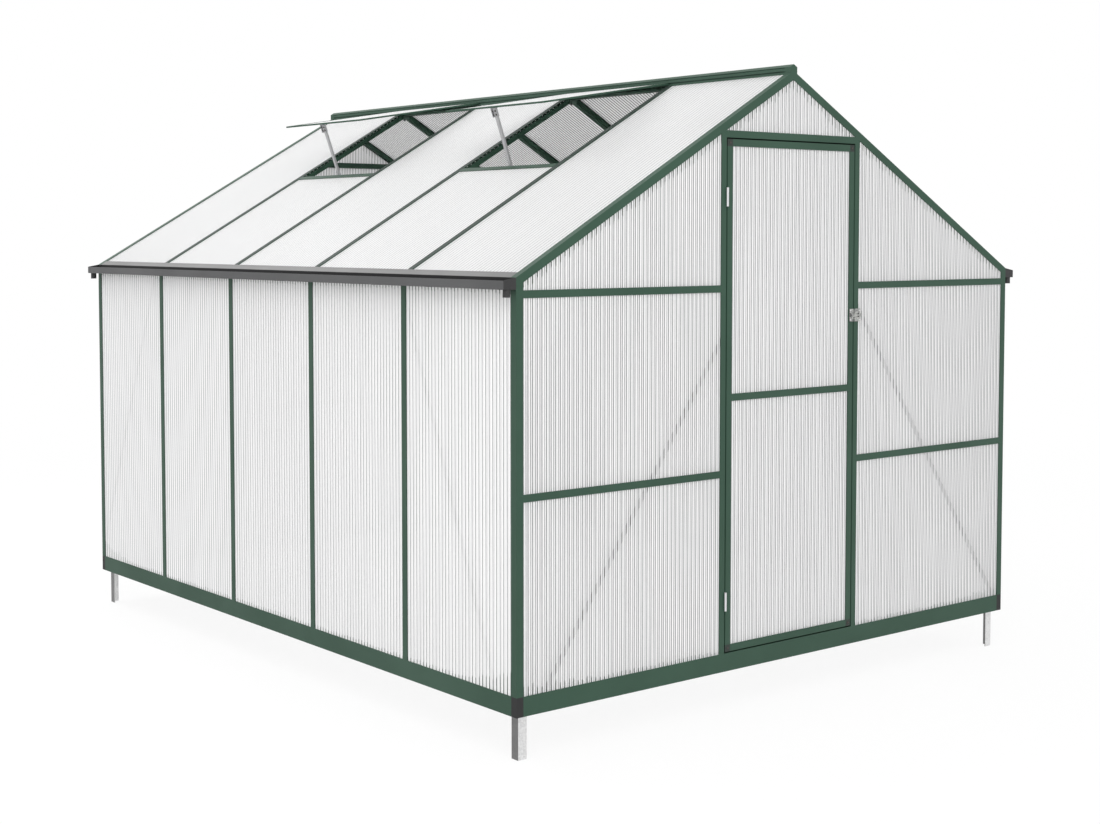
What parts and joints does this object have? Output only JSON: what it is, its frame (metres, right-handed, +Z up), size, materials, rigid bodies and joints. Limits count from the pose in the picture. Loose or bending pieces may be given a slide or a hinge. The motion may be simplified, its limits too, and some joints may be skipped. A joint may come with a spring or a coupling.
{
  "type": "polycarbonate greenhouse",
  "caption": "Walk-in gabled greenhouse: green metal frame, milky twin-wall sheets, hinged door, propped roof vents, gutters, ground stakes.",
  "frame": {"origin": "centre of the plan, level with the tips of the ground stakes", "axes": "X across the gable, Y along the ridge with the door at low Y, Z up"},
  "size_m": [2.628, 3.145, 2.308],
  "materials": {
    "green_frame": "satin powder coat, dark green",
    "charcoal_plastic": "moulded, matt charcoal",
    "charcoal_trim": "satin charcoal",
    "galvanised_steel": "galvanised",
    "bare_aluminium": "mill finish",
    "zinc_latch": "zinc-plated, mottled",
    "twin_wall_sheet": "milky, translucent, ribbed"
  },
  "bodies": {
    "building": {"base_rails": "green_frame", "base_corners": "charcoal_plastic", "ground_stakes": "galvanised_steel", "corner_posts": "green_frame", "left_wall_bars": "green_frame", "right_wall_bars": "green_frame", "left_eaves_beam": "charcoal_trim", "right_eaves_beam": "charcoal_trim", "left_gutter": "charcoal_trim", "right_gutter": "charcoal_trim", "left_gutter_ends": "charcoal_plastic", "right_gutter_ends": "charcoal_plastic", "front_rafters": "green_frame", "back_rafters": "green_frame", "door_posts": "green_frame", "back_posts": "green_frame", "front_rails": "green_frame", "back_rails": "green_frame", "door_lintel": "green_frame", "ridge_beam": "green_frame", "ridge_ends": "green_frame", "left_roof_bars": "green_frame", "right_roof_bars": "green_frame", "vent_sills": "green_frame", "vent_sashes": "green_frame", "vent_sheets": "twin_wall_sheet", "vent_stays": "bare_aluminium", "wall_braces": "galvanised_steel", "gable_braces": "galvanised_steel", "left_wall_sheets": "twin_wall_sheet", "right_wall_sheets": "twin_wall_sheet", "front_gable_sheets": "twin_wall_sheet", "back_gable_sheets": "twin_wall_sheet", "left_roof_sheets": "twin_wall_sheet", "right_roof_sheets": "twin_wall_sheet", "post_hinge_leaves": "bare_aluminium", "latch_keeper": "zinc_latch"},
    "door": {"door_frame": "green_frame", "door_corners": "charcoal_plastic", "door_rail": "green_frame", "door_sheets": "twin_wall_sheet", "door_hinge_leaves": "bare_aluminium", "door_latch": "zinc_latch"}
  },
  "joints": [
    {"name": "door_swing", "type": "hinge", "parent": "building", "child": "door", "pos_m": [-0.3355, -1.571, 1.114], "axis": [0, 0, -1], "range_deg": [0, 120]}
  ]
}
